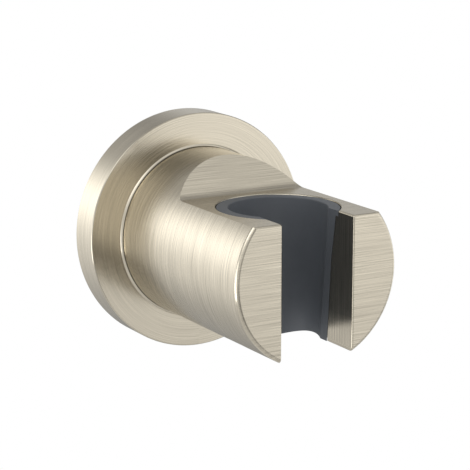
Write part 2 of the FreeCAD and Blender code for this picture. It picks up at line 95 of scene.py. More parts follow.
def addNode(tree, kind, **values):
    node = tree.nodes.new(kind)
    for name, value in values.items():
        setattr(node, name, value)
    return node


def plug(tree, source, target):
    tree.links.new(source, target)


def feed(tree, socket, value):
    if hasattr(value, "is_output"):
        plug(tree, value, socket)
    else:
        socket.default_value = value


def mathNode(tree, operation, *values, clamp=False):
    node = addNode(tree, "ShaderNodeMath", operation=operation, use_clamp=clamp)
    for socket, value in zip(node.inputs, values):
        feed(tree, socket, value)
    return node.outputs[0]


def vectorNode(tree, operation, *values):
    node = addNode(tree, "ShaderNodeVectorMath", operation=operation)
    for socket, value in zip(node.inputs, values):
        feed(tree, socket, value)
    return node.outputs["Value"] if operation in ("DOT_PRODUCT", "LENGTH") else node.outputs["Vector"]


def fill(node, facts, names):
    # sets a node's sockets: names says which of the facts each socket takes
    for socket, fact in names.items():
        node.inputs[socket].default_value = facts[fact]


def scaledVector(tree, vector, factor):
    node = addNode(tree, "ShaderNodeVectorMath", operation="SCALE")
    feed(tree, node.inputs[0], vector)
    feed(tree, node.inputs["Scale"], factor)
    return node.outputs["Vector"]


def addCamera():
    back = roomDirection(viewSet["azimuth"], viewSet["elevation"])
    data = bpy.data.cameras.new("photoView")
    data.lens = viewSet["lens"]
    data.sensor_width = viewSet["sensor"]
    data.clip_start = viewSet["near"]
    camera = bpy.data.objects.new("photoView", data)
    camera.location = Vector(viewSet["target"]) + back * viewSet["distance"]
    camera.rotation_euler = back.to_track_quat("Z", "Y").to_euler()
    bpy.context.scene.collection.objects.link(camera)
    bpy.context.scene.camera = camera


def addLamps():
    for name, facts in lampSet.items():
        data = bpy.data.lights.new(name, "AREA")
        data.shape = "RECTANGLE"
        data.size, data.size_y = facts["size"]
        data.energy = facts["watts"]
        lamp = bpy.data.objects.new(name, data)
        lamp.location = facts["at"]
        away = Vector(facts["at"]) - Vector(facts["aim"])
        lamp.rotation_euler = away.to_track_quat("Z", "Y").to_euler()
        bpy.context.scene.collection.objects.link(lamp)


def roomDirection(azimuth, height):
    turn, rise = math.radians(azimuth), math.radians(height)
    return Vector((math.sin(turn) * math.cos(rise), -math.cos(turn) * math.cos(rise), math.sin(rise)))


def makePanelGroup():
    # one soft panel of the room, brightest straight towards it
    group = bpy.data.node_groups.new("roomPanel", "ShaderNodeTree")
    groupSocket(group, "Direction", "INPUT", "NodeSocketVector")
    groupSocket(group, "Toward", "INPUT", "NodeSocketVector")
    groupSocket(group, "Focus", "INPUT", "NodeSocketFloat", 8.0)
    groupSocket(group, "Level", "INPUT", "NodeSocketFloat", 1.0)
    groupSocket(group, "Level", "OUTPUT", "NodeSocketFloat")
    enter = addNode(group, "NodeGroupInput")
    leave = addNode(group, "NodeGroupOutput")
    facing = vectorNode(group, "DOT_PRODUCT", enter.outputs["Direction"], enter.outputs["Toward"])
    lobe = mathNode(group, "POWER", mathNode(group, "MAXIMUM", facing, 0.0), enter.outputs["Focus"])
    plug(group, mathNode(group, "MULTIPLY", lobe, enter.outputs["Level"]), leave.inputs["Level"])
    return group


def addWorld():
    # the metal mirrors the panels, the camera sees a white backdrop, and all else gets an even light
    world = bpy.data.worlds.new("studio")
    bpy.context.scene.world = world
    world.use_nodes = True
    tree = world.node_tree
    tree.nodes.clear()
    path = addNode(tree, "ShaderNodeLightPath")
    coordinates = addNode(tree, "ShaderNodeTexCoord")
    panelGroup = makePanelGroup()
    total = 0.0
    for name, facts in panelSet.items():
        panel = addNode(tree, "ShaderNodeGroup", name=name)
        panel.node_tree = panelGroup
        plug(tree, coordinates.outputs["Generated"], panel.inputs["Direction"])
        panel.inputs["Toward"].default_value = roomDirection(facts["azimuth"], facts["height"])
        panel.inputs["Focus"].default_value = facts["focus"]
        panel.inputs["Level"].default_value = facts["level"]
        total = mathNode(tree, "ADD", total, panel.outputs["Level"])
    glossy, through = path.outputs["Is Glossy Ray"], path.outputs["Is Transmission Ray"]
    mirrored = mathNode(tree, "MAXIMUM", glossy, through)
    studio = addNode(tree, "ShaderNodeMix", data_type="FLOAT")
    plug(tree, mirrored, studio.inputs[0])
    studio.inputs[2].default_value = roomSet["diffuseLevel"]
    plug(tree, total, studio.inputs[3])
    seen = addNode(tree, "ShaderNodeMix", data_type="FLOAT")
    plug(tree, path.outputs["Is Camera Ray"], seen.inputs[0])
    plug(tree, studio.outputs[0], seen.inputs[2])
    seen.inputs[3].default_value = roomSet["backdropLevel"]
    background = addNode(tree, "ShaderNodeBackground")
    background.inputs["Color"].default_value = (1, 1, 1, 1)
    plug(tree, seen.outputs[0], background.inputs["Strength"])
    output = addNode(tree, "ShaderNodeOutputWorld")
    plug(tree, background.outputs[0], output.inputs["Surface"])


def addFloor():
    # a pale floor well below the part, plain white to the camera
    mesh = bpy.data.meshes.new("floor")
    side, front, back = roomSet["floorSide"], roomSet["floorFront"], roomSet["floorBack"]
    height = -roomSet["floorDrop"]
    corners = [(-side, front, height), (side, front, height), (side, back, height), (-side, back, height)]
    mesh.from_pydata(corners, [], [(0, 1, 2, 3)])
    floor = bpy.data.objects.new("floor", mesh)
    bpy.context.scene.collection.objects.link(floor)
    material = bpy.data.materials.new("paleFloor")
    material.use_nodes = True
    tree = material.node_tree
    shader = tree.nodes["Principled BSDF"]
    shader.inputs["Base Color"].default_value = roomSet["floorColor"]
    shader.inputs["Roughness"].default_value = roomSet["floorRoughness"]
    path = addNode(tree, "ShaderNodeLightPath")
    glow = addNode(tree, "ShaderNodeEmission")
    mix = addNode(tree, "ShaderNodeMixShader")
    plug(tree, path.outputs["Is Camera Ray"], mix.inputs[0])
    plug(tree, shader.outputs[0], mix.inputs[1])
    plug(tree, glow.outputs[0], mix.inputs[2])
    plug(tree, mix.outputs[0], tree.nodes["Material Output"].inputs["Surface"])
    floor.data.materials.append(material)


def groupSocket(tree, name, direction, kind, value=None):
    socket = tree.interface.new_socket(name=name, in_out=direction, socket_type=kind)
    if value is not None:
        socket.default_value = value
    return socket


# layers of streaks from fine to broad: how much wider than the finest, and how strong; then their noise
grainSet = {
    "layers": ((1.0, 1.9), (2.3, 1.1), (6.0, 0.2)),
    "noise": {"scale": 1.0, "detail": 2.0, "roughness": 0.6},
}


def makeGrainGroup():
    # streaks of a brushed finish, from a coordinate along the brushing and one across it
    group = bpy.data.node_groups.new("brushedGrain", "ShaderNodeTree")
    for name, value in (
        ("Along", 0.0), ("Across", 0.0), ("Width", 0.0002), ("Length", 0.009), ("Shade", 0.1),
        ("Roughness", 0.3), ("Roughness Change", 0.1),
    ):
        groupSocket(group, name, "INPUT", "NodeSocketFloat", value)
    groupSocket(group, "Color", "INPUT", "NodeSocketColor", (0.8, 0.8, 0.8, 1))
    groupSocket(group, "Color", "OUTPUT", "NodeSocketColor")
    groupSocket(group, "Roughness", "OUTPUT", "NodeSocketFloat")
    groupSocket(group, "Height", "OUTPUT", "NodeSocketFloat")
    enter = addNode(group, "NodeGroupInput")
    leave = addNode(group, "NodeGroupOutput")
    streaks = []
    for factor, weight in grainSet["layers"]:
        width = mathNode(group, "MULTIPLY", enter.outputs["Width"], factor)
        length = mathNode(group, "MULTIPLY", enter.outputs["Length"], math.sqrt(factor))
        place = addNode(group, "ShaderNodeCombineXYZ")
        plug(group, mathNode(group, "DIVIDE", enter.outputs["Across"], width), place.inputs[0])
        plug(group, mathNode(group, "DIVIDE", enter.outputs["Along"], length), place.inputs[1])
        noise = addNode(group, "ShaderNodeTexNoise", noise_dimensions="2D")
        fill(noise, grainSet["noise"], {"Scale": "scale", "Detail": "detail", "Roughness": "roughness"})
        plug(group, place.outputs[0], noise.inputs["Vector"])
        centred = mathNode(group, "SUBTRACT", noise.outputs["Fac"], 0.5)
        streaks.append(mathNode(group, "MULTIPLY", centred, weight))
    streak = sumOf(group, streaks)
    shade = mathNode(group, "ADD", mathNode(group, "MULTIPLY", streak, enter.outputs["Shade"]), 1.0)
    plug(group, scaledVector(group, enter.outputs["Color"], shade), leave.inputs["Color"])
    change = mathNode(group, "MULTIPLY", streak, enter.outputs["Roughness Change"])
    rough = mathNode(group, "ADD", enter.outputs["Roughness"], change, clamp=True)
    plug(group, rough, leave.inputs["Roughness"])
    plug(group, streak, leave.inputs["Height"])
    return group


cloudDetail = 3.0


def makeWearGroup():
    # broad cloudiness of a handled surface: a mask around 1
    group = bpy.data.node_groups.new("handledWear", "ShaderNodeTree")
    groupSocket(group, "Place", "INPUT", "NodeSocketVector")
    groupSocket(group, "Size", "INPUT", "NodeSocketFloat", 0.02)
    groupSocket(group, "Amount", "INPUT", "NodeSocketFloat", 0.05)
    groupSocket(group, "Mask", "OUTPUT", "NodeSocketFloat")
    enter = addNode(group, "NodeGroupInput")
    leave = addNode(group, "NodeGroupOutput")
    noise = addNode(group, "ShaderNodeTexNoise")
    plug(group, enter.outputs["Place"], noise.inputs["Vector"])
    plug(group, mathNode(group, "DIVIDE", 1.0, enter.outputs["Size"]), noise.inputs["Scale"])
    noise.inputs["Detail"].default_value = cloudDetail
    centred = mathNode(group, "SUBTRACT", noise.outputs["Fac"], 0.5)
    swing = mathNode(group, "MULTIPLY", centred, enter.outputs["Amount"])
    plug(group, mathNode(group, "ADD", swing, 1.0), leave.inputs["Mask"])
    return group


def makeFineGrain():
    # grain of a moulded or cast skin: fine pits over broad cloudy patches
    group = bpy.data.node_groups.new("fineGrain", "ShaderNodeTree")
    groupSocket(group, "Place", "INPUT", "NodeSocketVector")
    for name, value in (
        ("Grain Size", 0.0005), ("Patch Size", 0.006), ("Shade", 0.1),
        ("Roughness", 0.4), ("Roughness Change", 0.1),
    ):
        groupSocket(group, name, "INPUT", "NodeSocketFloat", value)
    groupSocket(group, "Color", "INPUT", "NodeSocketColor", (0.5, 0.5, 0.5, 1))
    groupSocket(group, "Color", "OUTPUT", "NodeSocketColor")
    groupSocket(group, "Roughness", "OUTPUT", "NodeSocketFloat")
    groupSocket(group, "Height", "OUTPUT", "NodeSocketFloat")
    enter = addNode(group, "NodeGroupInput")
    leave = addNode(group, "NodeGroupOutput")
    layers = []
    for size in ("Grain Size", "Patch Size"):
        noise = addNode(group, "ShaderNodeTexNoise")
        noise.inputs["Detail"].default_value = cloudDetail
        plug(group, enter.outputs["Place"], noise.inputs["Vector"])
        plug(group, mathNode(group, "DIVIDE", 1.0, enter.outputs[size]), noise.inputs["Scale"])
        layers.append(mathNode(group, "SUBTRACT", noise.outputs["Fac"], 0.5))
    both = mathNode(group, "ADD", layers[0], layers[1])
    shade = mathNode(group, "ADD", mathNode(group, "MULTIPLY", both, enter.outputs["Shade"]), 1.0)
    plug(group, scaledVector(group, enter.outputs["Color"], shade), leave.inputs["Color"])
    change = mathNode(group, "MULTIPLY", both, enter.outputs["Roughness Change"])
    rough = mathNode(group, "ADD", enter.outputs["Roughness"], change, clamp=True)
    plug(group, rough, leave.inputs["Roughness"])
    plug(group, layers[0], leave.inputs["Height"])
    return group


def newMaterial(name, metallic):
    material = bpy.data.materials.new(name)
    material.use_nodes = True
    tree = material.node_tree
    shader = tree.nodes["Principled BSDF"]
    shader.inputs["Metallic"].default_value = metallic
    return material, tree, shader


def addBump(tree, shader, height, depth):
    bump = addNode(tree, "ShaderNodeBump")
    bump.inputs["Distance"].default_value = depth
    plug(tree, height, bump.inputs["Height"])
    plug(tree, bump.outputs[0], shader.inputs["Normal"])


def addBrushing(tree, shader, facts, color, along, across, place):
    # brushed streaks and the cloudiness of handling, for the shader's colour, roughness and bump
    grain = addNode(tree, "ShaderNodeGroup")
    grain.node_tree = grainGroup
    plug(tree, along, grain.inputs["Along"])
    plug(tree, across, grain.inputs["Across"])
    fill(grain, facts, {"Width": "streakWidth", "Length": "streakLength", "Shade": "streakShade"})
    fill(grain, facts, {"Roughness": "roughness", "Roughness Change": "roughnessChange"})
    feed(tree, grain.inputs["Color"], color)
    wear = addNode(tree, "ShaderNodeGroup")
    wear.node_tree = wearGroup
    plug(tree, place, wear.inputs["Place"])
    fill(wear, facts, {"Size": "wearSize", "Amount": "wearAmount"})
    worn = mathNode(tree, "MULTIPLY", grain.outputs["Roughness"], wear.outputs["Mask"])
    plug(tree, worn, shader.inputs["Roughness"])
    plug(tree, grain.outputs["Color"], shader.inputs["Base Color"])
    addBump(tree, shader, grain.outputs["Height"], facts["streakDepth"])


def sumOf(tree, values):
    total = values[0]
    for value in values[1:]:
        total = mathNode(tree, "ADD", total, value)
    return total


def turnedCoordinates(tree, place):
    # round the Y axis: the way along the turning marks, the way across them, and the radius
    x, y, z = place.outputs
    squares = [mathNode(tree, "MULTIPLY", value, value) for value in (x, z)]
    radius = mathNode(tree, "SQRT", sumOf(tree, squares))
    along = mathNode(tree, "MULTIPLY", mathNode(tree, "ARCTAN2", x, z), barSet["radius"] * mm)
    return along, mathNode(tree, "SUBTRACT", radius, y), radius


nickelSet = {
    "color": (0.77, 0.704, 0.573, 1),
    "roughness": 0.20,
    "roughnessChange": 0.05,
    "anisotropic": 0.9,
    "anisotropicRotation": 0.25,
    "streakWidth": 0.12 * mm,
    "streakLength": 18.0 * mm,
    "streakShade": 0.54,
    "streakDepth": 0.0001 * mm,
    "wearSize": 14.0 * mm,
    "wearAmount": 0.12,
}
# the cover is brushed more finely than the body
coverBrushing = {"roughness": 0.15, "streakWidth": 0.09 * mm, "streakShade": 0.34}
# where the body's turned brushing ends, as a radius and as the way a face looks; which faces are the
# slot's walls; how much more the flats' streaks change with height than with depth; how much painted
# shade darkens the walls and the corner at the cover, and how much a painted highlight lightens the front
# edge; and how far a tangent may stand out of the surface
brushSet = {
    "turnedRadius": 21.05 * mm,
    "turnedFacing": -0.6,
    "slotHalf": 9.9 * mm,
    "wallFacing": 0.8,
    "flatSkew": 1.6,
    "wallPaintedShade": 0.36,
    "cornerPaintedShade": 0.38,
    "cornerWidth": 2.6 * mm,
    "edgeHighlightGain": 0.12,
    "uprightLimit": 0.8,
}


def makePaintedHighlightGroup():
    # painted highlight on edges: a lighter colour where the mask says
    group = bpy.data.node_groups.new("paintedEdgeHighlight", "ShaderNodeTree")
    groupSocket(group, "Color", "INPUT", "NodeSocketColor", (0.8, 0.8, 0.8, 1))
    groupSocket(group, "Mask", "INPUT", "NodeSocketFloat", 0.0)
    groupSocket(group, "Gain", "INPUT", "NodeSocketFloat", 0.2)
    groupSocket(group, "Color", "OUTPUT", "NodeSocketColor")
    enter = addNode(group, "NodeGroupInput")
    leave = addNode(group, "NodeGroupOutput")
    gain = mathNode(group, "MULTIPLY", enter.outputs["Mask"], enter.outputs["Gain"])
    lighter = mathNode(group, "ADD", gain, 1.0)
    plug(group, scaledVector(group, enter.outputs["Color"], lighter), leave.inputs["Color"])
    return group


def between(tree, value, low, high):
    above = mathNode(tree, "GREATER_THAN", value, low)
    return mathNode(tree, "MULTIPLY", above, mathNode(tree, "LESS_THAN", value, high))


def bodyZones(tree, x, radius, facing):
    # masks of the body's three brushings: round the axis, across the flats and up the slot's walls
    normal = addNode(tree, "ShaderNodeSeparateXYZ")
    plug(tree, facing, normal.inputs[0])
    outside = mathNode(tree, "GREATER_THAN", radius, brushSet["turnedRadius"])
    notFront = mathNode(tree, "GREATER_THAN", normal.outputs[1], brushSet["turnedFacing"])
    turnedZone = mathNode(tree, "MULTIPLY", outside, notFront)
    inSlot = mathNode(tree, "LESS_THAN", mathNode(tree, "ABSOLUTE", x), brushSet["slotHalf"])
    lean = mathNode(tree, "ABSOLUTE", normal.outputs[0])
    sideways = mathNode(tree, "GREATER_THAN", lean, brushSet["wallFacing"])
    wallZone = mathNode(tree, "MULTIPLY", inSlot, sideways)
    rest = mathNode(tree, "SUBTRACT", 1.0, turnedZone)
    flatZone = mathNode(tree, "SUBTRACT", rest, wallZone, clamp=True)
    return turnedZone, flatZone, wallZone


def pickValue(tree, zones, values):
    # of one value for each zone, that of the zone at the spot
    return sumOf(tree, [mathNode(tree, "MULTIPLY", value, zone) for value, zone in zip(values, zones)])


def pickWay(tree, zones, ways):
    parts = [scaledVector(tree, way, zone) for way, zone in zip(ways, zones)]
    return vectorNode(tree, "ADD", vectorNode(tree, "ADD", parts[0], parts[1]), parts[2])


def bodyColorPaintedLight(tree, color, y, turnedZone, wallZone):
    # painted shade on the slot's walls and in the corner at the cover, and a painted highlight on the
    # edge round the front
    # painted shade: the post darkens towards the cover
    lip = (coverSet["depth"] + coverSet["lipHeight"]) * mm
    depth = mathNode(tree, "ADD", y, lip + brushSet["cornerWidth"])
    corner = mathNode(tree, "DIVIDE", depth, brushSet["cornerWidth"], clamp=True)
    nearest = mathNode(tree, "MULTIPLY", corner, corner)
    cornerShade = mathNode(tree, "MULTIPLY", nearest, brushSet["cornerPaintedShade"])
    # painted shade: the slot's walls are darkened
    wallShade = mathNode(tree, "MULTIPLY", wallZone, brushSet["wallPaintedShade"])
    paintedShadeFactor = mathNode(tree, "SUBTRACT", 1.0, mathNode(tree, "ADD", wallShade, cornerShade))
    # painted highlight: the edge round the front is lightened
    frontEdge = between(tree, y, -barSet["reach"] * mm, (barSet["frontRound"] - barSet["reach"]) * mm)
    shine = addNode(tree, "ShaderNodeGroup")
    shine.node_tree = paintedHighlightGroup
    plug(tree, scaledVector(tree, color[:3], paintedShadeFactor), shine.inputs["Color"])
    plug(tree, mathNode(tree, "MULTIPLY", turnedZone, frontEdge), shine.inputs["Mask"])
    shine.inputs["Gain"].default_value = brushSet["edgeHighlightGain"]
    return shine.outputs["Color"]


def makeNickel(name, facts, mixed):
    # brushed nickel plate, turned about the holder's axis; a mixed one is brushed straight in places too
    material, tree, shader = newMaterial(name, 1.0)
    fill(shader, facts, {"Anisotropic": "anisotropic", "Anisotropic Rotation": "anisotropicRotation"})
    coordinates = addNode(tree, "ShaderNodeTexCoord").outputs["Object"]
    place = addNode(tree, "ShaderNodeSeparateXYZ")
    plug(tree, coordinates, place.inputs[0])
    x, y, z = place.outputs
    along, across, radius = turnedCoordinates(tree, place)
    tangent = addNode(tree, "ShaderNodeTangent", direction_type="RADIAL", axis="Y").outputs[0]
    facing = addNode(tree, "ShaderNodeNewGeometry").outputs["Normal"]
    color = facts["color"]
    if mixed:
        zones = bodyZones(tree, x, radius, facing)
        level = mathNode(tree, "ADD", y, mathNode(tree, "MULTIPLY", z, brushSet["flatSkew"]))
        along = pickValue(tree, zones, (along, x, z))
        across = pickValue(tree, zones, (across, level, y))
        tangent = pickWay(tree, zones, (tangent, (1, 0, 0), (0, 0, 1)))
        # the body's colour carries painted shade and a painted highlight
        color = bodyColorPaintedLight(tree, color, y, zones[0], zones[2])
    # a tangent that points out of the surface is swapped for one along the holder's axis
    upright = mathNode(tree, "ABSOLUTE", vectorNode(tree, "DOT_PRODUCT", facing, tangent))
    swapped = mathNode(tree, "GREATER_THAN", upright, brushSet["uprightLimit"])
    kept = scaledVector(tree, tangent, mathNode(tree, "SUBTRACT", 1.0, swapped))
    way = vectorNode(tree, "ADD", kept, scaledVector(tree, (0, 1, 0), swapped))
    plug(tree, way, shader.inputs["Tangent"])
    addBrushing(tree, shader, facts, color, along, across, coordinates)
    return material


steelSet = {
    "color": (0.50, 0.50, 0.51, 1),
    "roughness": 0.28,
    "roughnessChange": 0.12,
    "streakWidth": 0.10 * mm,
    "streakLength": 14.0 * mm,
    "streakShade": 0.30,
    "streakDepth": 0.001 * mm,
    "wearSize": 3.0 * mm,
    "wearAmount": 0.35,
}


def makeSteel(name):
    # turned stainless steel of the screws, the washer and the pins
    material, tree, shader = newMaterial(name, 1.0)
    coordinates = addNode(tree, "ShaderNodeTexCoord").outputs["Object"]
    place = addNode(tree, "ShaderNodeSeparateXYZ")
    plug(tree, coordinates, place.inputs[0])
    along, across = turnedCoordinates(tree, place)[:2]
    addBrushing(tree, shader, steelSet, steelSet["color"], along, across, coordinates)
    return material


linerSet = {
    "color": (0.128, 0.140, 0.158, 1),
    "roughness": 0.46,
    "roughnessChange": 0.16,
    "grainSize": 0.30 * mm,
    "patchSize": 7.0 * mm,
    "shade": 0.16,
    "grainDepth": 0.004 * mm,
}
castSet = {
    "color": (0.40, 0.41, 0.42, 1),
    "roughness": 0.50,
    "roughnessChange": 0.35,
    "grainSize": 0.45 * mm,
    "patchSize": 6.0 * mm,
    "shade": 0.40,
    "grainDepth": 0.03 * mm,
}


def makeSkin(name, facts, metallic):
    # moulded plastic or cast metal, with the grain of its mould
    material, tree, shader = newMaterial(name, metallic)
    coordinates = addNode(tree, "ShaderNodeTexCoord")
    skin = addNode(tree, "ShaderNodeGroup")
    skin.node_tree = fineGroup
    plug(tree, coordinates.outputs["Object"], skin.inputs["Place"])
    fill(skin, facts, {"Grain Size": "grainSize", "Patch Size": "patchSize", "Shade": "shade"})
    fill(skin, facts, {"Color": "color", "Roughness": "roughness", "Roughness Change": "roughnessChange"})
    plug(tree, skin.outputs["Color"], shader.inputs["Base Color"])
    plug(tree, skin.outputs["Roughness"], shader.inputs["Roughness"])
    addBump(tree, shader, skin.outputs["Height"], facts["grainDepth"])
    return material


def dress(node, material):
    # a piece that stays as the CAD made it takes this material
    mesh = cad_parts[node].data
    if not mesh.materials:
        mesh.materials.append(material)
    for number in range(len(mesh.materials)):
        mesh.materials[number] = material


def arcPoints(centre, radius, start, stop, steps):
    # points of an arc in a profile, both angles in degrees
    points = []
    for number in range(steps + 1):
        angle = math.radians(start + (stop - start) * number / steps)
        points.append((centre[0] + radius * math.cos(angle), centre[1] + radius * math.sin(angle)))
    return points


def addMesh(name, points, faces):
    mesh = bpy.data.meshes.new(name)
    mesh.from_pydata(points, [], faces)
    piece = bpy.data.objects.new(name, mesh)
    bpy.context.scene.collection.objects.link(piece)
    return piece


def turnedPoints(profile, axis, steps, shift=(0, 0, 0)):
    # a profile of (radius, place along the axis) pairs, in millimetres, repeated round the axis
    points = []
    for turn in range(steps):
        angle = 2 * math.pi * turn / steps
        for radius, place in profile:
            first, second = radius * math.cos(angle), radius * math.sin(angle)
            spot = (second, place, first) if axis == "Y" else (first, second, place)
            points.append(tuple((spot[index] + shift[index]) * mm for index in range(3)))
    return points


def turnedRing(name, profile, axis, steps):
    # ring turned from a closed profile
    count = len(profile)
    faces = []
    for turn in range(steps):
        here, there = turn * count, (turn + 1) % steps * count
        for number in range(count):
            after = (number + 1) % count
            faces.append((here + number, here + after, there + after, there + number))
    return outward(addMesh(name, turnedPoints(profile, axis, steps), faces))


def turnedSolid(name, profile, axis, steps, shift=(0, 0, 0)):
    # solid turned from an open profile, with a flat end at both of its ends
    count = len(profile)
    faces = [
        tuple(turn * count for turn in range(steps)),
        tuple(turn * count + count - 1 for turn in reversed(range(steps))),
    ]
    for turn in range(steps):
        here, there = turn * count, (turn + 1) % steps * count
        for number in range(count - 1):
            faces.append((here + number + 1, here + number, there + number, there + number + 1))
    return outward(addMesh(name, turnedPoints(profile, axis, steps, shift), faces))


def outward(piece):
    bm = bmesh.new()
    bm.from_mesh(piece.data)
    bmesh.ops.recalc_face_normals(bm, faces=bm.faces)
    bm.to_mesh(piece.data)
    bm.free()
    return piece


def block(name, low, high):
    spans = [[edge * mm for edge in span] for span in zip(low, high)]
    points = [(x, y, z) for x in spans[0] for y in spans[1] for z in spans[2]]
    faces = [(0, 1, 3, 2), (4, 6, 7, 5), (0, 4, 5, 1), (2, 3, 7, 6), (0, 2, 6, 4), (1, 5, 7, 3)]
    return outward(addMesh(name, points, faces))


# how far a round cutter's corners keep off the axes' own lines, as a share of the way to the next corner
cornerOffset = 0.37


def rod(name, radius, start, stop, axis, steps, shift=(0, 0, 0)):
    # plain round bar along one axis, for cutting with
    points = []
    for place in (start, stop):
        for number in range(steps):
            angle = 2 * math.pi * (number + cornerOffset) / steps
            first, second = radius * math.cos(angle), radius * math.sin(angle)
            spot = (first, place, second) if axis == "Y" else (first, second, place)
            points.append(tuple((spot[index] + shift[index]) * mm for index in range(3)))
    faces = [tuple(range(steps)), tuple(range(steps, 2 * steps))]
    for number in range(steps):
        after = (number + 1) % steps
        faces.append((number, after, steps + after, steps + number))
    piece = addMesh(name, points, faces)
    piece.data.validate()
    return outward(piece)


def bentOutline(corners, steps):
    # closed outline through (y, z, round) corners, with an arc at each corner that has a round
    outline = []
    for index, (y, z, radius) in enumerate(corners):
        here = Vector((y, z))
        if not radius:
            outline.append((y, z))
            continue
        back = (Vector(corners[index - 1][:2]) - here).normalized()
        ahead = (Vector(corners[(index + 1) % len(corners)][:2]) - here).normalized()
        half = back.angle(ahead) / 2
        centre = here + (back + ahead).normalized() * radius / math.sin(half)
        begin = here + back * radius / math.tan(half) - centre
        end = here + ahead * radius / math.tan(half) - centre
        sweep = begin.angle_signed(end)
        for number in range(steps + 1):
            turn = -sweep * number / steps
            spot = Vector((
                begin.x * math.cos(turn) - begin.y * math.sin(turn),
                begin.x * math.sin(turn) + begin.y * math.cos(turn),
            ))
            outline.append(tuple(centre + spot))
    return outline


def prism(name, profile, half):
    # a profile of (y, z) pairs carried from -half to half along X
    points = [(side * half * mm, y * mm, z * mm) for side in (-1, 1) for y, z in profile]
    count = len(profile)
    faces = [tuple(range(count)), tuple(range(2 * count - 1, count - 1, -1))]
    for number in range(count):
        after = (number + 1) % count
        faces.append((after, number, count + number, count + after))
    return outward(addMesh(name, points, faces))


def bake(piece):
    # the mesh that the piece's modifiers give becomes its own
    depsgraph = bpy.context.evaluated_depsgraph_get()
    mesh = bpy.data.meshes.new_from_object(piece.evaluated_get(depsgraph))
    before = piece.data
    piece.modifiers.clear()
    piece.data = mesh
    bpy.data.meshes.remove(before)


def carve(piece, operation, tool):
    change = piece.modifiers.new("change", "BOOLEAN")
    change.operation = operation
    change.object = tool
    change.solver = "EXACT"
    bake(piece)
    bpy.data.objects.remove(tool)


def roundCutter(name, stations, steps, past=0.4):
    # what a round takes off an edge, reaching a little past it: each station has the edge's place, the
    # outward ways of its two faces and the radius of the round
    sections = []
    for place, first, second, radius in stations:
        middle = (first + second) / (1 + first.dot(second))
        centre = place - middle * radius
        section = []
        for number in range(steps + 1):
            way = first.slerp(second, number / steps)
            section.append(centre + way * radius)
        section += [section[-1] + second * past, place + middle * past, section[0] + first * past]
        sections.append(section)
    count = len(sections[0])
    total = len(sections) * count
    faces = [tuple(range(count)), tuple(range(total - 1, total - count - 1, -1))]
    for row in range(len(sections) - 1):
        here, there = row * count, (row + 1) * count
        for number in range(count):
            after = (number + 1) % count
            faces.append((here + after, here + number, there + number, there + after))
    points = [tuple(point * mm) for section in sections for point in section]
    return outward(addMesh(name, points, faces))


def smooth(piece, sharpAngle=35):
    mesh = piece.data
    mesh.shade_smooth()
    mesh.set_sharp_from_angle(angle=math.radians(sharpAngle))
    weighted = piece.modifiers.new("normals", "WEIGHTED_NORMAL")
    weighted.mode = "FACE_AREA"
    weighted.keep_sharp = True
    bake(piece)


def present(piece, node, material):
    # the finished piece takes the place of the CAD's
    piece.data.materials.clear()
    piece.data.materials.append(material)
    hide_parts(node)
    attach(piece, "root")
    print(f"{piece.name}: {len(piece.data.polygons)} faces")


barSet = {
    "radius": 22.0,
    "reach": 66.2,
    "seatReach": 8.0,
    "frontRound": 1.0,
    "flatHeight": 13.54,
    "flatFrontRound": 0.6,
    "foldReach": 30.44,
    "foldRound": 4.0,
    "shoulderAngle": 47.0,
    "boreReach": 48.3,
    "slotWidth": 19.56,
    "rimRadius": 15.07,
    "rimRound": 0.3,
    "slotRound": 0.5,
    "frontSlotRound": 0.36,
    "tappedHole": 3.03,
    "tappedDepth": 14.5,
    "pinDepth": 4.3,
    "slotTopRun": 7.0,
    "slotBottomRun": 4.0,
    "slotBottomShare": 0.5,
    "steps": 512,
    "boreSteps": 256,
    "holeSteps": 64,
    "pinSteps": 48,
    "frontSteps": 10,
    "foldSteps": 12,
    "rimSteps": 5,
    "slotSteps": 6,
    "slotTopStations": 6,
    "slotFrontStations": 8,
}
# how far the cutting tools reach past the post, as shares of its radius or its reach; the last is in mm
toolSet = {"above": 1.2, "below": 1.1, "beside": 1.5, "ahead": 1.1, "past": 1.0}


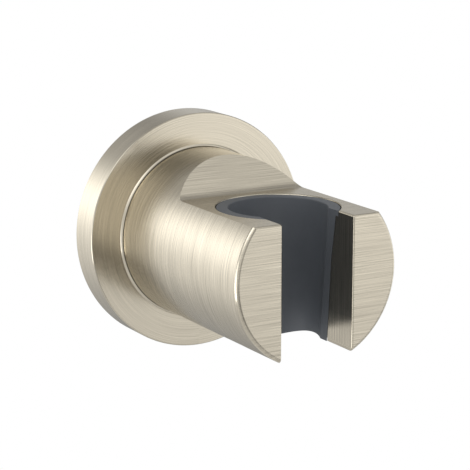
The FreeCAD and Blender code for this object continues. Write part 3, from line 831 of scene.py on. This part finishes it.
def makeBar():
    facts = barSet
    radius, reach, edge = facts["radius"], facts["reach"], facts["frontRound"]
    flat, half = facts["flatHeight"], facts["slotWidth"] / 2
    profile = [(radius, -facts["seatReach"]), (radius, -facts["foldReach"])]
    profile += arcPoints((radius - edge, -reach + edge), edge, 0, -90, facts["frontSteps"])
    piece = turnedSolid("holderPost", profile, "Y", facts["steps"])
    clear = radius * toolSet["above"]
    front = -reach * toolSet["ahead"]
    shoulder = (clear - flat) / math.tan(math.radians(facts["shoulderAngle"]))
    corners = [
        (-facts["foldReach"], flat, facts["foldRound"]),
        (-reach, flat, facts["flatFrontRound"]),
        (-reach, flat - facts["flatFrontRound"], 0),
        (front, flat - facts["flatFrontRound"], 0),
        (front, clear, 0),
        (-facts["foldReach"] + shoulder, clear, 0),
    ]
    outline = bentOutline(corners, facts["foldSteps"])
    carve(piece, "DIFFERENCE", prism("topTool", outline, radius * toolSet["beside"]))
    sleeve = sleeveSet
    slope = (sleeve["topRadius"] - sleeve["bottomRadius"]) / (sleeve["top"] - sleeve["bottom"])
    outer = sleeve["bottomRadius"] + sleeve["wall"] + sleeve["clearance"]
    underside, rim = sleeve["rimUnderside"], facts["rimRadius"]
    # the rim's round starts a little below the flat, so that the tool crosses the flat upright
    soft = facts["rimRound"]
    rimArc = arcPoints((rim + soft, flat - soft), soft, 100, 180, facts["rimSteps"])
    boreProfile = [(rimArc[0][0], clear)] + rimArc
    boreProfile += [(rim, underside), (sleeve["shoulderRadius"] + sleeve["clearance"], underside)]
    for height in (sleeve["shoulderHeight"], -radius * toolSet["below"]):
        boreProfile.append((outer + slope * (height - sleeve["bottom"]), height))
    shift = (0, -facts["boreReach"], 0)
    carve(piece, "DIFFERENCE", turnedSolid("boreTool", boreProfile, "Z", facts["boreSteps"], shift))
    slot = block("slotTool", (-half, front, -clear), (half, -facts["boreReach"], clear))
    carve(piece, "DIFFERENCE", slot)
    halfKey = sleeve["keyWidth"] / 2 + sleeve["clearance"]
    keyEnd = -facts["boreReach"] + sleeve["keyReach"] + sleeve["clearance"]
    keyFoot = underside - sleeve["keyLength"] - sleeve["clearance"]
    keyway = block("keywayTool", (-halfKey, -facts["boreReach"], keyFoot), (halfKey, keyEnd, underside))
    carve(piece, "DIFFERENCE", keyway)
    seat = -facts["seatReach"]
    behind = seat + toolSet["past"]
    bottom = seat - facts["tappedDepth"]
    tapped = rod("tappedTool", facts["tappedHole"], bottom, behind, "Y", facts["holeSteps"])
    carve(piece, "DIFFERENCE", tapped)
    for side in (-1, 1):
        shift = (side * coverSet["pinSpread"], 0, 0)
        bottom = seat - facts["pinDepth"]
        pinTool = rod("pinTool", coverSet["pinHole"], bottom, behind, "Y", facts["pinSteps"], shift)
        carve(piece, "DIFFERENCE", pinTool)
        carve(piece, "DIFFERENCE", roundCutter("slotRoundTool", slotEdge(side), facts["slotSteps"]))
    smooth(piece)
    return piece


def slotEdge(side):
    # the edge of the slot on one side: along the flat, over its front round, down the front, back below
    facts = barSet
    across = side * facts["slotWidth"] / 2
    flat, reach, radius = facts["flatHeight"], facts["reach"], facts["radius"]
    inward = Vector((-side, 0, 0))
    topRound, frontRound = facts["slotRound"], facts["frontSlotRound"]
    start = Vector((across, -facts["boreReach"] - facts["slotTopRun"], flat))
    stations = [(start, inward, Vector((0, 0, 1)), topRound)]
    edge, last = facts["flatFrontRound"], facts["slotTopStations"]
    for number in range(last + 1):
        angle = math.radians(90 * number / last)
        way = Vector((0, -math.sin(angle), math.cos(angle)))
        place = Vector((across, -reach + edge, flat - edge)) + way * edge
        stations.append((place, inward, way, topRound + (frontRound - topRound) * number / last))
    edge, last = facts["frontRound"], facts["slotFrontStations"]
    for number in range(last + 1):
        angle = math.radians(90 * number / last)
        ring = radius - edge + edge * math.sin(angle)
        height = -math.sqrt(ring ** 2 - across ** 2)
        place = Vector((across, -reach + edge - edge * math.cos(angle), height))
        way = Vector((math.sin(angle) * across / ring, -math.cos(angle), math.sin(angle) * height / ring))
        size = frontRound * (1 - facts["slotBottomShare"] * number / last)
        stations.append((place, inward, way, size))
    end = Vector((across, -facts["boreReach"] - facts["slotBottomRun"], place.z))
    stations.append((end, inward, way, size))
    return stations


coverSet = {
    "radius": 30.7,
    "depth": 8.9,
    "hollowRadius": 27.3,
    "webReach": 5.2,
    "seatReach": 8.0,
    "seatRadius": 22.08,
    "edgeRound": 0.32,
    "backRound": 0.15,
    "lipHeight": 0.42,
    "lipWidth": 0.58,
    "lipBevel": 0.06,
    "screwHole": 3.3,
    "pinHole": 1.52,
    "pinSpread": 12.0,
    "pinDepth": 2.02,
    "setScrewHole": 2.03,
    "setScrewReach": 2.9,
    "screwPast": 2.0,
    "steps": 384,
    "pinSteps": 48,
    "screwSteps": 64,
    "backSteps": 3,
    "edgeSteps": 6,
    "lipSteps": 8,
}


def makeCover():
    facts = coverSet
    radius, depth, hollow = facts["radius"], facts["depth"], facts["hollowRadius"]
    edge, back = facts["edgeRound"], facts["backRound"]
    profile = [(hollow, 0.0)]
    profile += arcPoints((radius - back, -back), back, 90, 0, facts["backSteps"])
    profile += arcPoints((radius - edge, -depth + edge), edge, 0, -90, facts["edgeSteps"])
    # the lip round the post rises in a soft curve to a small bevel at its inner edge
    seat, bevel = facts["seatRadius"], facts["lipBevel"]
    high, wide = facts["lipHeight"], facts["lipWidth"]
    for number in range(facts["lipSteps"] + 1):
        share = number / facts["lipSteps"]
        rise = (share + math.sin(share * math.pi / 2)) / 2
        profile.append((seat + wide - (wide - bevel) * share, -depth - high * rise))
    profile += [(seat, -depth - high + bevel), (seat, -facts["seatReach"])]
    profile += [(facts["screwHole"], -facts["seatReach"]), (facts["screwHole"], -facts["webReach"])]
    profile.append((hollow, -facts["webReach"]))
    piece = turnedRing("coverDisc", profile, "Y", facts["steps"])
    start = -facts["seatReach"]
    for side in (-1, 1):
        shift = (side * facts["pinSpread"], 0, 0)
        ends = (start - toolSet["past"], start + facts["pinDepth"])
        carve(piece, "DIFFERENCE", rod("pinTool", facts["pinHole"], *ends, "Y", facts["pinSteps"], shift))
    shift = (0, -facts["setScrewReach"], 0)
    ends = (-radius - facts["screwPast"], -hollow + facts["screwPast"])
    screwTool = rod("screwTool", facts["setScrewHole"], *ends, "Z", facts["screwSteps"], shift)
    carve(piece, "DIFFERENCE", screwTool)
    smooth(piece)
    return piece


sleeveSet = {
    "reach": 48.3,
    "topRadius": 12.0,
    "bottomRadius": 10.45,
    "top": 13.39,
    "bottom": -22.0,
    "wall": 1.45,
    "shoulderRadius": 14.1,
    "shoulderHeight": 0.7,
    "clearance": 0.1,
    "rimRadius": 14.95,
    "rimUnderside": 12.09,
    "rimRound": 0.28,
    "mouthWidth": 19.56,
    "trimRadius": 21.98,
    "keyWidth": 3.0,
    "keyReach": 14.35,
    "keyLength": 11.0,
    "keyRoot": 0.25,
    "cutterDepth": 20.0,
    "cutterHalf": 40.0,
    "trimHalf": 30.0,
    "steps": 256,
    "trimSteps": 512,
    "rimSteps": 5,
}


def makeSleeve():
    # made on its own axis, then moved back to its place in the post
    facts = sleeveSet
    slope = (facts["topRadius"] - facts["bottomRadius"]) / (facts["top"] - facts["bottom"])
    underside = facts["rimUnderside"]
    outer = facts["bottomRadius"] + facts["wall"]
    rim = facts["rimRound"]
    profile = [(facts["bottomRadius"], facts["bottom"]), (outer, facts["bottom"])]
    profile.append((outer + slope * (facts["shoulderHeight"] - facts["bottom"]), facts["shoulderHeight"]))
    profile.append((facts["shoulderRadius"], underside))
    profile.append((facts["rimRadius"], underside))
    profile += arcPoints((facts["rimRadius"] - rim, facts["top"] - rim), rim, 0, 90, facts["rimSteps"])
    profile += arcPoints((facts["topRadius"] + rim, facts["top"] - rim), rim, 90, 180, facts["rimSteps"])
    piece = turnedRing("coneSleeve", profile, "Z", facts["steps"])
    halfKey, keyStart = facts["keyWidth"] / 2, facts["topRadius"] + facts["wall"] * facts["keyRoot"]
    keyLow = (-halfKey, keyStart, underside - facts["keyLength"])
    carve(piece, "UNION", block("keyTool", keyLow, (halfKey, facts["keyReach"], underside)))
    half, high = facts["mouthWidth"] / 2, facts["cutterHalf"]
    carve(piece, "DIFFERENCE", block("mouthTool", (-half, -facts["cutterDepth"], -high), (half, 0, high)))
    ends = (-facts["trimHalf"], facts["trimHalf"])
    carve(piece, "INTERSECT", rod("trimTool", facts["trimRadius"], *ends, "Y", facts["trimSteps"]))
    for vertex in piece.data.vertices:
        vertex.co.y -= facts["reach"] * mm
    smooth(piece)
    return piece


bpy.context.scene.view_settings.view_transform = "Standard"
addCamera()
addLamps()
addWorld()
addFloor()
grainGroup = makeGrainGroup()
wearGroup = makeWearGroup()
fineGroup = makeFineGrain()
paintedHighlightGroup = makePaintedHighlightGroup()
print("camera, room and shader groups made")
bodyNickel = makeNickel("bodyNickel", nickelSet, True)
coverNickel = makeNickel("coverNickel", nickelSet | coverBrushing, False)
present(makeBar(), "holder_body", bodyNickel)
present(makeCover(), "escutcheon", coverNickel)
present(makeSleeve(), "cone_liner", makeSkin("linerPlastic", linerSet, 0.0))
dress("wall_bracket", makeSkin("zincCasting", castSet, 1.0))
steel = makeSteel("screwSteel")
for node in ("set_screw", "clamp_screw", "lock_washer", "locating_pin_left", "locating_pin_right"):
    dress(node, steel)
print("bracket, screws, washer and pins dressed")
